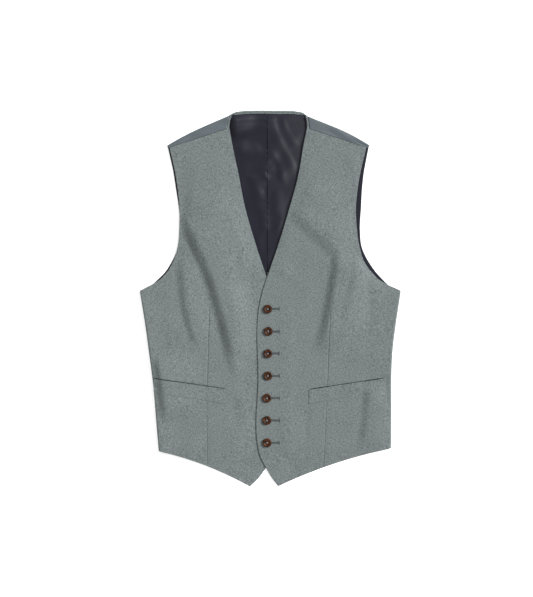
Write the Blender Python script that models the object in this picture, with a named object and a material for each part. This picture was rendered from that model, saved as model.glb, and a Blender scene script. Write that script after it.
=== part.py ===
"""Single-breasted suit waistcoat laid flat on its back, fronts up.

Metres, +Z up. The garment lies on z = 0 with its neck towards +Y, and +X is
the wearer's left. The origin is the middle of its outline, on the surface
that it lies on. The tables below are in millimetres.

The body is a flattened tube. The satin back lies on the surface with its
lining on it, the wool fronts lie on the lining, roll round the sides and meet
the back underneath, and the back comes forward over the shoulders to meet
the fronts at the shoulder seams.
"""

import math

import bmesh
import bpy
import numpy as np

MM = 0.001
SEAM = 0.3  # gap between neighbouring pieces

# Wall thicknesses.
WOOL = 1.8
SATIN = 1.0
LINING = 1.0
BAND = 1.0
WELT = 1.0

# Heights of the middle of each wall.
FLOOR_Z = WOOL / 2
BACK_Z = SATIN / 2
LINING_Z = SATIN + SEAM + LINING / 2
FRONT_Z = SATIN + SEAM + LINING + SEAM + WOOL / 2
SHOULDER_TOP = 5.0  # top of the cloth along the shoulder seams
STACK = WOOL + SEAM  # how far one front lifts the other

CENTRE_X = -5.0  # centre back seam and line of buttons
SIDE_TURN = 8.0  # how far the fronts reach round under the sides
ROLL_STEPS = 5  # faces round a rolled edge

# Outlines of the two fronts: (x, y) up each edge. The right front's edge is
# hidden under the left front between the hem notch and the foot of the V.
FRONTS = {
    "front_right": {
        "edge": [
            (-34.5, -319.0), (-21.0, -306.0), (-7.5, -287.3), (5.0, -266.0),
            (11.0, -245.0), (11.5, -130.0), (11.0, -12.0), (4.0, 10.0),
            (-6.0, 36.6), (-24.7, 92.7), (-42.5, 153.9), (-54.7, 215.0),
            (-63.4, 255.9), (-69.7, 290.0),
        ],
        "side": [
            (-189.6, -259.0), (-193.8, -210.0), (-198.9, -149.0),
            (-206.7, -87.6), (-212.2, -46.8), (-222.0, 13.6),
        ],
        "armhole": [
            (-222.0, 13.6), (-189.6, 31.5), (-176.0, 45.0), (-167.0, 60.0),
            (-158.3, 86.0), (-154.7, 126.7), (-155.6, 167.5), (-160.7, 208.3),
            (-171.5, 257.0),
        ],
        "neck_tip": (-66.8, 313.4),
    },
    "front_left": {
        "edge": [
            (13.6, -318.6), (4.9, -307.7), (-7.5, -287.3), (-17.9, -267.0),
            (-22.6, -247.0), (-21.6, -138.0), (-20.2, -14.0), (-15.0, 9.0),
            (-5.6, 36.6), (11.4, 85.9), (30.1, 147.0), (46.8, 208.0),
            (56.3, 262.0), (62.0, 290.0),
        ],
        "side": [
            (205.2, -254.0), (205.7, -190.0), (205.9, -128.0),
            (207.9, -87.6), (212.8, -46.8), (222.0, 13.6),
        ],
        "armhole": [
            (222.0, 13.6), (186.2, 31.5), (172.6, 45.0), (161.5, 60.0),
            (152.2, 86.0), (147.0, 120.0), (145.4, 150.5), (150.5, 201.5),
            (163.0, 257.0),
        ],
        "neck_tip": (60.8, 311.9),
    },
}

# Cross sections of a front, from the hem up: y at the front edge, y at the
# side, and how far the section bows up between them. The first is the hem,
# which starts and ends where the edge and the side do.
SECTIONS = [
    (None, None, 6.0), (-300.0, -239.0, 4.5), (-280.0, -224.0, 3.0),
    (-260.0, -209.0, 2.0), (-238.0, -192.0, 1.0), (-216.0, -176.0, 0.4),
    (-194.0, -160.0, 0.0), (-168.0, -134.5, 0.0), (-140.0, -110.0, 0.0),
    (-108.0, -84.0, 0.0), (-76.0, -58.0, 0.0), (-46.0, -34.0, 0.0),
    (-22.0, -14.0, 0.0), (-2.0, 1.0, 0.0), (14.0, 13.6, 0.0),
    (28.0, 22.0, 0.0), (46.0, 32.0, 0.0), (66.0, 44.0, 0.0),
    (88.0, 60.0, 0.0), (114.0, 84.0, 0.0), (142.0, 114.0, 0.0),
    (172.0, 148.0, 0.0), (202.0, 182.0, 0.0), (232.0, 212.0, 0.0),
    (262.0, 236.0, 0.0), (290.0, 257.0, 0.0),
]
WELT_FOOT_ROW = 6
WELT_MOUTH_ROW = 7
UNDERARM_ROW = 14

# Places of a front's columns, as shares of the way from its edge to its side.
# The first two bound the strip that runs on beside the neck.
COLUMNS = [0.0, 0.04] + [float(u) for u in np.linspace(0.1, 1.0, 16)]
STRIP_WIDTH = 4.2

# Largest folds: start, middle and end of the line, walked downwards with the
# high side on the left hand; how high the cloth stands there, half the width of
# its steep side, and how far behind that it takes to sink again.
FOLDS = {
    "front_right": [
        ((-164.0, 156.0), (-94.0, 25.0), (-48.0, -146.0), 7.6, 11.0, 78.0),
        ((-156.0, 76.0), (-155.0, -6.0), (-122.0, -96.0), 3.8, 8.0, 28.0),
        ((-200.0, -92.0), (-191.0, -143.0), (-180.0, -214.0), 5.0, 9.0, 40.0),
    ],
    "front_left": [
        ((30.0, 150.0), (88.0, 100.0), (118.0, 58.0), 3.8, 12.0, 44.0),
        ((110.0, 96.0), (110.0, 10.0), (74.0, -96.0), 6.0, 10.0, 46.0),
        ((146.0, 80.0), (136.0, 8.0), (114.0, -72.0), 2.0, 8.0, 30.0),
        ((165.0, -138.0), (161.0, -199.0), (151.0, -264.0), 3.2, 9.0, 30.0),
    ],
}
PUFF = 2.0  # how far the fronts stand off the lining in the chest and sides

# Welt pockets: the front that each is on, and where it starts and ends, as
# shares of the way across that front.
WELTS = {
    "welt_right": ("front_right", 0.418, 1.0),
    "welt_left": ("front_left", 0.384, 0.95),
}

# Armholes of the back from the side seam up, and the armhole ends of the
# shoulder folds.
ARMHOLES = {
    "back_right": [
        (-211.0, 13.9), (-193.0, 31.5), (-179.4, 45.0), (-169.5, 60.0),
        (-158.0, 86.0), (-153.8, 120.0), (-155.0, 147.0), (-160.7, 187.9),
        (-167.5, 228.7), (-174.8, 258.0),
    ],
    "back_left": [
        (211.0, 13.9), (192.6, 31.5), (180.2, 45.0), (169.5, 60.0),
        (156.4, 86.0), (152.8, 115.0), (154.7, 157.0), (156.4, 187.9),
        (161.5, 228.7), (167.4, 258.0),
    ],
}
SHOULDER_ENDS = {"back_right": (-175.6, 260.6), "back_left": (168.8, 261.2)}
SHOULDER_BOWS = {"back_right": 2.4, "back_left": 3.2}  # how far each shoulder fold bows up
BACK_HEM_Y = -246.0
ARMHOLE_ROWS = [24.0, 36.0, 52.0, 76.0, 108.0, 146.0, 186.0, 224.0]
SHOULDER_SHARES = [0.2, 0.4, 0.6, 0.8, 1.0]
NECK_SHARE = 0.39  # how far across the back the neck's corner is

# The satin's neckline under the neck band: shares of the way from the centre
# back seam to the neck's corner, and how much of the rise is made by then.
NECKLINE = [(0.0, 0.0), (0.35, 0.05), (0.62, 0.22), (0.84, 0.55), (1.0, 1.0)]
NECKLINE_Y = 303.0

# Neck band: its folded top edge, and how deep its inner leg is.
BAND_TOP = [
    (-69.0, 312.8), (-65.8, 314.6), (-61.0, 317.0), (-51.0, 319.0),
    (-28.0, 320.2), (10.0, 319.8), (46.0, 318.6), (56.0, 316.2),
    (60.5, 312.8), (63.2, 311.2),
]
BAND_INNER = 5.6

# Buttons: 24-ligne, four holes, down the line of the centre front.
BUTTON_HEIGHT = 3.2
BUTTON_TOP_Y = -17.3
BUTTON_PITCH = 37.8
BUTTON_COUNT = 7
BUTTON_SEGMENTS = 18
BUTTON_PROFILE = [  # radius and height, from the dished centre to the back
    (4.3, 2.1), (5.3, 3.1), (6.4, 3.2), (7.5, 2.4), (7.5, 1.5), (4.8, 0.0),
]
HOLE_RADIUS = 0.8
HOLE_OFFSET = 1.35
HOLE_SEGMENTS = 6

COLOURS = {  # linear base colour, roughness
    "suiting": ((0.205, 0.232, 0.235), 0.92),
    "back_satin": ((0.155, 0.185, 0.215), 0.55),
    "lining": ((0.032, 0.032, 0.045), 0.45),
    "button": ((0.085, 0.028, 0.012), 0.35),
}


def material(slot):
    """The slot's material, made the first time that it is asked for."""
    found = bpy.data.materials.get(slot)
    if found:
        return found
    made = bpy.data.materials.new(slot)
    made.use_nodes = True
    shader = made.node_tree.nodes["Principled BSDF"]
    colour, roughness = COLOURS[slot]
    shader.inputs["Base Color"].default_value = (*colour, 1.0)
    shader.inputs["Roughness"].default_value = roughness
    shader.inputs["Metallic"].default_value = 0.0
    return made


def smooth_line(points, steps=10):
    """A smooth line through points whose second coordinate always rises."""
    across, along = np.array(points, float).T
    step = np.diff(along)
    slope = np.diff(across) / step
    inner = (slope[:-1] * step[1:] + slope[1:] * step[:-1]) / (step[:-1] + step[1:])
    slopes = np.concatenate([slope[:1], inner, slope[-1:]])
    line = [(across[0], along[0])]
    for k, length in enumerate(step):
        for t in np.arange(1, steps + 1) / steps:
            line.append((
                (1 + 2 * t) * (1 - t) ** 2 * across[k]
                + t * (1 - t) ** 2 * length * slopes[k]
                + t * t * (3 - 2 * t) * across[k + 1]
                + t * t * (t - 1) * length * slopes[k + 1],
                along[k] + t * length,
            ))
    return np.array(line)


def x_at(line, y):
    """Where a line that runs upward crosses a height."""
    return float(np.interp(y, line[:, 1], line[:, 0]))


def ease(low, high, value):
    """0 below low, 1 above high, and smooth between."""
    t = min(1.0, max(0.0, (value - low) / (high - low)))
    return t * t * (3 - 2 * t)


def fold_rise(x, y, start, middle, end, rise, steep, reach):
    """How far a fold raises a place: steeply across its line, then sinking slowly behind it."""
    nearest = (math.inf, 0.0, 0.0)
    for t in np.linspace(0, 1, 33):
        to_x = x - ((1 - t) ** 2 * start[0] + 2 * t * (1 - t) * middle[0] + t * t * end[0])
        to_y = y - ((1 - t) ** 2 * start[1] + 2 * t * (1 - t) * middle[1] + t * t * end[1])
        along_x = (1 - t) * (middle[0] - start[0]) + t * (end[0] - middle[0])
        along_y = (1 - t) * (middle[1] - start[1]) + t * (end[1] - middle[1])
        away = math.hypot(to_x, to_y)
        left = math.copysign(away, along_x * to_y - along_y * to_x)
        nearest = min(nearest, (away, left, t))
    _, left, t = nearest
    behind = max(0.0, left - steep) / reach
    return rise * ease(-steep, steep, left) * math.exp(-behind * behind) * ease(0, 0.3, min(t, 1 - t))


class Front:
    """One front: its edges as smooth lines, and the height of its cloth."""

    def __init__(self, name):
        outline = FRONTS[name]
        self.name = name
        self.sign = -1 if name == "front_right" else 1
        self.edge = smooth_line(outline["edge"])
        self.side = smooth_line(outline["side"])
        self.armhole = smooth_line(outline["armhole"])
        self.outer = np.vstack([self.side, self.armhole[1:]])
        self.neck_tip = np.array(outline["neck_tip"])
        end = np.array(SHOULDER_ENDS["back_right" if self.sign < 0 else "back_left"])
        self.along = (end - self.neck_tip) / np.linalg.norm(end - self.neck_tip)
        self.upward = self.sign * np.array([-self.along[1], self.along[0]])

    def height(self, x, y):
        """Height of the middle of the cloth at a place on the front."""
        from_edge = abs(x - x_at(self.edge, y))
        from_side = abs(x - x_at(self.outer, y))
        in_armhole = ease(-20, 30, y)
        start = 42 - 56 * ease(30, 80, y)  # it lies flat under and beside the buttons only
        free = ease(start, start + 44, from_edge) * (1 - 0.75 * ease(225, 290, y))
        lift = free * ease(-318, -250, y) * (1 - in_armhole * (1 - ease(0, 45, from_side)))
        lift += 0.45 * (1 - in_armhole) * (1 - ease(0, 40, from_side)) * (1 - lift)
        folded = sum(fold_rise(x, y, *fold) for fold in FOLDS[self.name])
        folded *= free * (0.25 + 0.75 * ease(0, 16, from_side))
        stacked = 0.0
        if self.sign > 0:
            out = math.hypot(max(0.0, x - 14), max(0.0, y - 40), max(0.0, -287 - y))
            stacked = STACK * (1 - ease(2, 34, out))
        rest = FLOOR_Z + (FRONT_Z - FLOOR_Z) * ease(-290, -246, y)
        shoulder = (SHOULDER_TOP - WOOL / 2 - FRONT_Z) * ease(215, 262, y)
        return rest + max(PUFF * lift + folded, shoulder) + stacked

    def ends(self, row):
        """y at the front edge and y at the side or armhole of a cross section."""
        inner_y, outer_y, _ = SECTIONS[row]
        return inner_y or self.edge[0][1], outer_y or self.side[0][1]

    def roll(self, y):
        """Radius and middle of the roll round the side at a height."""
        fold = x_at(self.side, y)
        radius = (self.height(fold - self.sign * 3, y) - FLOOR_Z) / 2
        return radius, fold - self.sign * (radius + WOOL / 2)

    def section(self, row):
        """The points of one cross section, from the front edge to the side or armhole."""
        inner_y, outer_y = self.ends(row)
        bow = SECTIONS[row][2]
        inner_x = x_at(self.edge, inner_y)
        outer_x = x_at(self.armhole, outer_y)
        if row <= UNDERARM_ROW:
            radius, outer_x = self.roll(outer_y)
        points = []
        for u in COLUMNS:
            x = inner_x + (outer_x - inner_x) * u
            y = inner_y + (outer_y - inner_y) * u + 4 * bow * u * (1 - u)
            points.append((x, y, self.height(x, y)))
        if row <= UNDERARM_ROW:
            points[-1] = (outer_x, outer_y, FLOOR_Z + 2 * radius)
        return points

    def side_turn(self, row):
        """The points that carry a section round the side and under it."""
        outer_y = self.ends(row)[1]
        radius, middle = self.roll(outer_y)
        points = []
        for k in range(1, ROLL_STEPS + 1):
            angle = math.pi * k / ROLL_STEPS
            x = middle + self.sign * radius * math.sin(angle)
            points.append((x, outer_y, FLOOR_Z + radius * (1 + math.cos(angle))))
        points.append((middle - self.sign * SIDE_TURN, outer_y, FLOOR_Z))
        return points

    def shoulder_edge(self):
        """The wool's end at the shoulder seam: outer corner of the neck strip, armhole end."""
        top = np.array(self.section(len(SECTIONS) - 1))[:, :2]
        return top[1], top[-1]

    def neck_strip(self):
        """Rows that carry the strip beside the neck up to the shoulder and over it."""
        top = np.array(self.section(len(SECTIONS) - 1))
        z = SHOULDER_TOP - WOOL / 2
        radius = z - (SATIN + SEAM + LINING + SEAM)
        back = self.upward * (radius + WOOL / 2)
        inner = np.array([*(self.neck_tip - back), z])
        outer = np.array([*(self.neck_tip + self.along * STRIP_WIDTH - back), z])
        rows = []
        for t in (0.3, 0.6, 0.85, 1.0):
            belly = np.array([self.sign * math.sin(math.pi * t), 0, 0])
            rows.append([top[0] + (inner - top[0]) * t + belly, top[1] + (outer - top[1]) * t])
        for k in range(1, 4):
            angle = math.pi / 2 * k / 3
            reach = self.upward * radius * math.sin(angle)
            step = np.array([*reach, radius * (math.cos(angle) - 1)])
            rows.append([inner + step, outer + step])
        return rows

    def grid(self):
        """All the points of the front, by row and column."""
        points = {}
        for row in range(len(SECTIONS)):
            for column, point in enumerate(self.section(row)):
                points[row, column] = point
            if row > UNDERARM_ROW:
                continue
            for column, point in enumerate(self.side_turn(row), len(COLUMNS)):
                points[row, column] = point
        for row, pair in enumerate(self.neck_strip(), len(SECTIONS)):
            for column, point in enumerate(pair):
                points[row, column] = point
        return points

    def back_edge(self):
        """The line that the back's side follows, a seam's gap inside the front's turn."""
        line = []
        for row in range(UNDERARM_ROW + 1):
            x, y, _ = self.side_turn(row)[-1]
            line.append((x - self.sign * SEAM, y))
        return np.array(line)


def wall(name, grid, thickness, slot):
    """A cloth panel: a sheet through the grid's points, given its thickness."""
    keys = sorted(grid)
    number = {key: k for k, key in enumerate(keys)}
    faces = []
    for row, column in keys:
        corners = [(row, column), (row, column + 1), (row + 1, column + 1), (row + 1, column)]
        if all(corner in number for corner in corners):
            faces.append([number[corner] for corner in corners])
    mesh = bpy.data.meshes.new(name)
    mesh.from_pydata([[c * MM for c in grid[key]] for key in keys], [], faces)
    mesh.materials.append(material(slot))
    work = bmesh.new()
    work.from_mesh(mesh)
    bmesh.ops.recalc_face_normals(work, faces=work.faces)
    work.to_mesh(mesh)
    work.free()
    mesh.shade_smooth()
    panel = bpy.data.objects.new(name, mesh)
    bpy.context.scene.collection.objects.link(panel)
    solidify = panel.modifiers.new("cloth", "SOLIDIFY")
    solidify.thickness = thickness * MM
    solidify.offset = 0.0
    solidify.use_even_offset = True
    return panel


def welt(name, front):
    """A pocket's welt, made from the front's own points and moved out from them."""
    _, start, end = WELTS[name]
    inside = [u for u in COLUMNS if start + 0.015 < u < end - 0.015]
    rise = WOOL / 2 + SEAM + WELT / 2
    grid = {}
    for row, source in enumerate((WELT_FOOT_ROW, WELT_MOUTH_ROW)):
        section = np.array(front.section(source))
        for column, u in enumerate([start, *inside, end]):
            x, y, z = (float(np.interp(u, COLUMNS, section[:, axis])) for axis in range(3))
            grid[row, column] = (x, y, z + rise)
    return wall(name, grid, WELT, "suiting")


class Back:
    """One half of the back: the satin, and the lining that lies on it."""

    def __init__(self, name, front):
        self.name = name
        self.sign = front.sign
        self.upward = front.upward
        self.side = front.back_edge()
        self.armhole = smooth_line(ARMHOLES[name])
        neck, tip = front.shoulder_edge()
        clear = front.along * SEAM
        self.seam = np.array([neck + clear, tip]) + self.upward * SEAM
        corner = front.neck_tip + front.along * STRIP_WIDTH + clear
        self.radius = (SHOULDER_TOP - SATIN / 2 - BACK_Z) / 2
        fold = np.array([corner, SHOULDER_ENDS[name]])
        self.roll = fold - self.upward * (self.radius + SATIN / 2)
        self.start_x = CENTRE_X + self.sign * SEAM / 2
        side_rows = [front.ends(row)[1] for row in range(1, UNDERARM_ROW + 1)]
        self.rows = [BACK_HEM_Y, *side_rows, *ARMHOLE_ROWS]

    def fold_at(self, share):
        """A place on the shoulder fold, from the neck's corner (0) to the armhole (1)."""
        straight = self.roll[0] + (self.roll[1] - self.roll[0]) * share
        return straight + self.upward * SHOULDER_BOWS[self.name] * math.sin(math.pi * share**1.3)

    def neckline(self):
        """The satin's neckline from the centre back seam to the neck's corner."""
        corner = self.roll[0]
        points = []
        for share, rise in NECKLINE:
            x = self.start_x + (corner[0] - self.start_x) * share
            points.append((x, NECKLINE_Y + (corner[1] - NECKLINE_Y) * rise))
        return points

    def panel(self, z, inset, top):
        """The flat part of the back, whose top row is given, at a height."""
        grid = {}
        shares = [share * NECK_SHARE for share, _ in NECKLINE]
        shares += [NECK_SHARE + (1 - NECK_SHARE) * share for share in SHOULDER_SHARES]
        for row, y in enumerate(self.rows):
            edge = self.side if y < self.armhole[0][1] else self.armhole
            outer_x = x_at(edge, y) - self.sign * inset
            for column, share in enumerate(shares):
                grid[row, column] = (self.start_x + (outer_x - self.start_x) * share, y, z)
        for column, (x, y) in enumerate(top):
            grid[len(self.rows), column] = (x, y, z)
        return grid

    def satin(self):
        """The outer back, which rolls over the shoulder to its seam."""
        along = [self.fold_at(share) for share in SHOULDER_SHARES]
        grid = self.panel(BACK_Z, 0.0, self.neckline() + along)
        row = len(self.rows)
        for column, share in enumerate([0.0, *SHOULDER_SHARES], len(NECKLINE) - 1):
            base = self.fold_at(share)
            seam = self.seam[0] + (self.seam[1] - self.seam[0]) * share
            for k in range(1, ROLL_STEPS + 1):
                angle = math.pi * k / ROLL_STEPS
                out = base + self.upward * self.radius * math.sin(angle)
                rise = self.radius * (1 - math.cos(angle))
                grid[row + k, column] = (*out, BACK_Z + rise)
            grid[row + ROLL_STEPS + 1, column] = (*seam, SHOULDER_TOP - SATIN / 2)
        return wall(self.name, grid, SATIN, "back_satin")

    def lining(self):
        """The lining, which stops short of the neck band and the shoulder roll."""
        top = [(x, band_top(x) - BAND_INNER - SEAM) for x, _ in self.neckline()[:-1]]
        for share in [0.0, *SHOULDER_SHARES]:
            x, y = self.roll[0] + (self.roll[1] - self.roll[0]) * share - self.upward * 3.4
            top.append((x, y))
        grid = self.panel(LINING_Z, 0.6, top)
        return wall(self.name.replace("back", "back_lining"), grid, LINING, "lining")


BAND_LINE = smooth_line([(y, x) for x, y in BAND_TOP])


def band_top(x):
    """Height of the neck band's folded top edge."""
    return float(np.interp(x, BAND_LINE[:, 1], BAND_LINE[:, 0]))


def neck_band(backs):
    """The folded strip of suiting along the back neck: outer leg, fold and inner leg."""
    right, left = (np.array(back.neckline()) for back in backs)
    satin_edge = np.vstack([right[::-1], left])
    linings = [np.array([(x, band_top(x) - BAND_INNER) for x, _ in half[:-1]]) for half in (right, left)]
    corners = [np.array([[half[-1][0], half[-1][1] - 2.6]]) for half in (right, left)]
    inner_edge = np.vstack([corners[0], linings[0][::-1], linings[1], corners[1]])
    ends = [point[0] for point in BAND_TOP]
    inside = [x for x in satin_edge[:, 0] if ends[0] + 1 < x < ends[-1] - 1]
    columns = sorted(ends + inside)
    radius = (LINING_Z - BACK_Z) / 2
    grid = {}
    for column, x in enumerate(columns):
        crest = band_top(x) - radius - BAND / 2
        low = float(np.interp(x, satin_edge[:, 0], satin_edge[:, 1])) + SEAM
        inner = float(np.interp(x, inner_edge[:, 0], inner_edge[:, 1]))
        profile = [(low, BACK_Z), (crest, BACK_Z)]
        for k in range(1, 4):
            angle = math.pi * k / 4
            profile.append((crest + radius * math.sin(angle), BACK_Z + radius * (1 - math.cos(angle))))
        profile += [(crest, LINING_Z), (inner, LINING_Z)]
        for row, (y, z) in enumerate(profile):
            grid[row, column] = (x, y, z)
    return wall("neck_band", grid, BAND, "suiting")


def lathe(profile, segments):
    """A closed turned shape from a profile of radii and heights."""
    work = bmesh.new()
    rings = []
    for radius, z in profile:
        ring = []
        for k in range(segments):
            angle = 2 * math.pi * k / segments
            x, y = radius * math.cos(angle), radius * math.sin(angle)
            ring.append(work.verts.new((x * MM, y * MM, z * MM)))
        rings.append(ring)
    for upper, lower in zip(rings, rings[1:]):
        for k in range(segments):
            following = (k + 1) % segments
            work.faces.new((upper[k], lower[k], lower[following], upper[following]))
    work.faces.new(rings[0])
    work.faces.new(rings[-1][::-1])
    bmesh.ops.recalc_face_normals(work, faces=work.faces)
    return work


def button_mesh():
    """A turned button with a dished centre and four holes through it."""
    work = lathe(BUTTON_PROFILE, BUTTON_SEGMENTS)
    blank = bpy.data.meshes.new("button_blank")
    work.to_mesh(blank)
    work.free()
    blank.materials.append(material("button"))
    drill = bmesh.new()
    for across in (-HOLE_OFFSET, HOLE_OFFSET):
        for along in (-HOLE_OFFSET, HOLE_OFFSET):
            made = bmesh.ops.create_cone(
                drill, cap_ends=True, segments=HOLE_SEGMENTS, radius1=HOLE_RADIUS * MM,
                radius2=HOLE_RADIUS * MM, depth=3 * BUTTON_HEIGHT * MM,
            )
            shift = (across * MM, along * MM, 0)
            bmesh.ops.translate(drill, verts=made["verts"], vec=shift)
    drill_mesh = bpy.data.meshes.new("button_drill")
    drill.to_mesh(drill_mesh)
    drill.free()
    turned = bpy.data.objects.new("button_turned", blank)
    cutter = bpy.data.objects.new("button_cutter", drill_mesh)
    for helper in (turned, cutter):
        bpy.context.scene.collection.objects.link(helper)
    cut = turned.modifiers.new("holes", "BOOLEAN")
    cut.operation = "DIFFERENCE"
    cut.solver = "EXACT"
    cut.object = cutter
    graph = bpy.context.evaluated_depsgraph_get()
    mesh = bpy.data.meshes.new_from_object(turned.evaluated_get(graph))
    mesh.name = "button"
    for helper in (turned, cutter):
        bpy.data.objects.remove(helper)
    mesh.shade_smooth()
    mesh.set_sharp_from_angle(angle=math.radians(40))
    return mesh


def buttons(front):
    """The row of buttons, lying on the left front."""
    mesh = button_mesh()
    made = []
    for k in range(BUTTON_COUNT):
        y = BUTTON_TOP_Y - BUTTON_PITCH * k
        z = front.height(CENTRE_X, y) + WOOL / 2 + SEAM
        button = bpy.data.objects.new(f"button_{k + 1}", mesh)
        bpy.context.scene.collection.objects.link(button)
        button.location = (CENTRE_X * MM, y * MM, z * MM)
        made.append(button)
    return made


def centre_outline(objects):
    """Moves the objects together so that the origin is the middle of their outline."""
    graph = bpy.context.evaluated_depsgraph_get()
    places = []
    for thing in objects:
        evaluated = thing.evaluated_get(graph)
        mesh = evaluated.to_mesh()
        places += [evaluated.matrix_world @ vertex.co for vertex in mesh.vertices]
        evaluated.to_mesh_clear()
    corners = np.array(places)
    middle = (corners.min(0) + corners.max(0)) / 2
    for thing in objects:
        thing.location.x -= middle[0]
        thing.location.y -= middle[1]


def build():
    for old in list(bpy.data.objects):
        bpy.data.objects.remove(old)
    fronts = {name: Front(name) for name in FRONTS}
    made = [wall(name, front.grid(), WOOL, "suiting") for name, front in fronts.items()]
    made += [welt(name, fronts[WELTS[name][0]]) for name in WELTS]
    backs = [Back("back_right", fronts["front_right"]), Back("back_left", fronts["front_left"])]
    for back in backs:
        made += [back.satin(), back.lining()]
    made.append(neck_band(backs))
    made += buttons(fronts["front_left"])
    centre_outline(made)


build()
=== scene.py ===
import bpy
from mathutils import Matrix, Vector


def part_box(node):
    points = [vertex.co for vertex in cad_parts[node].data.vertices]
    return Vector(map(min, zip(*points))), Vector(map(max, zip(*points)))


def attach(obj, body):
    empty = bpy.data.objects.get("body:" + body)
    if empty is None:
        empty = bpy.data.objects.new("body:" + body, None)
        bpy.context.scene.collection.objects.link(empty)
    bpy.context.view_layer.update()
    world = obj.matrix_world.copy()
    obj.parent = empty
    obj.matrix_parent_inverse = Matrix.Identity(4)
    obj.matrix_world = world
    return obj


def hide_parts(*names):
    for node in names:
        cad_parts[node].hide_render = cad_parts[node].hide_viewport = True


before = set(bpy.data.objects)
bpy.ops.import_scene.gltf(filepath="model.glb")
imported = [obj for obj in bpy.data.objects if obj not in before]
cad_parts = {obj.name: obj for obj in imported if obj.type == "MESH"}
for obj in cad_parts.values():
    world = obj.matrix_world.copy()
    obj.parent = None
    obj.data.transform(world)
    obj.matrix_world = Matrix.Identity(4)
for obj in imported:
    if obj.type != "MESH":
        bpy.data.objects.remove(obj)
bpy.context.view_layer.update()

import math

import bmesh
import bpy
import numpy as np
from mathutils import Vector
from mathutils.kdtree import KDTree

# ------------------------------
# Fronts: mid-grey worsted suiting over canvas, cut with a V neck, a pointed
# hem and a dart from chest to hem. The left one laps over the right. Both roll
# round the sides to meet the back, and run on as a strip beside the neck.

MM = 0.001
SEAM = 0.3  # gap between neighbouring pieces, in millimetres like all that follows
WOOL = 1.5
SATIN = 1.0
LINING = 0.5
FLOOR_Z = WOOL / 2
BACK_Z = SATIN / 2
LINING_Z = SATIN + SEAM + LINING / 2
FRONT_Z = 2.6 + WOOL / 2
SHOULDER_TOP = 5.0
STACK = WOOL + SEAM
SIDE_TURN = 8.0
STRIP_WIDTH = 4.2
CENTRE_X = -5.0
BUTTON_TOP_Y = -17.3

low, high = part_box("button_1")
PLACE = np.array([(low[0] + high[0]) / 2 / MM - CENTRE_X, (low[1] + high[1]) / 2 / MM - BUTTON_TOP_Y, 0])

FRONTS = {
    "front_right": {
        "edge": [
            (-34.5, -319.0), (-21.0, -306.0), (-7.5, -287.3), (5.0, -266.0),
            (11.0, -245.0), (11.5, -130.0), (11.0, -12.0), (4.0, 10.0),
            (-6.0, 36.6), (-24.7, 92.7), (-42.5, 153.9), (-54.7, 215.0),
            (-63.4, 255.9), (-69.7, 290.0),
        ],
        "side": [
            (-189.6, -259.0), (-193.8, -210.0), (-198.9, -149.0),
            (-206.7, -87.6), (-212.2, -46.8), (-222.0, 13.6),
        ],
        "armhole": [
            (-222.0, 13.6), (-189.6, 31.5), (-176.0, 45.0), (-167.0, 60.0),
            (-158.3, 86.0), (-154.7, 126.7), (-155.6, 167.5), (-160.7, 208.3),
            (-171.5, 257.0),
        ],
        "dart": [
            (-107.6, -285.0), (-108.0, -177.0), (-105.6, -82.5), (-103.7, -4.3),
            (-104.5, 90.0), (-112.0, 200.0), (-120.0, 274.0),
        ],
        "dart_top": -4.3,
        "neck_tip": (-66.8, 313.4),
        "shoulder_end": (-175.6, 260.6),
    },
    "front_left": {
        "edge": [
            (13.6, -318.6), (4.9, -307.7), (-7.5, -287.3), (-17.4, -267.0),
            (-21.6, -247.0), (-20.6, -138.0), (-19.2, -14.0), (-14.4, 9.0),
            (-5.6, 36.6), (11.4, 85.9), (30.1, 147.0), (46.8, 208.0),
            (56.3, 262.0), (62.0, 290.0),
        ],
        "side": [
            (205.2, -254.0), (205.7, -190.0), (205.9, -128.0),
            (207.9, -87.6), (212.8, -46.8), (222.0, 13.6),
        ],
        "armhole": [
            (222.0, 13.6), (186.2, 31.5), (172.6, 45.0), (161.5, 60.0),
            (152.2, 86.0), (147.0, 120.0), (145.4, 150.5), (150.5, 201.5),
            (163.0, 257.0),
        ],
        "dart": [
            (90.5, -284.0), (95.2, -182.0), (99.3, -72.3), (101.8, -15.5),
            (103.0, 90.0), (107.0, 180.0), (113.0, 273.0),
        ],
        "dart_top": -15.5,
        "neck_tip": (60.8, 311.9),
        "shoulder_end": (168.8, 261.2),
    },
}

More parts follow.
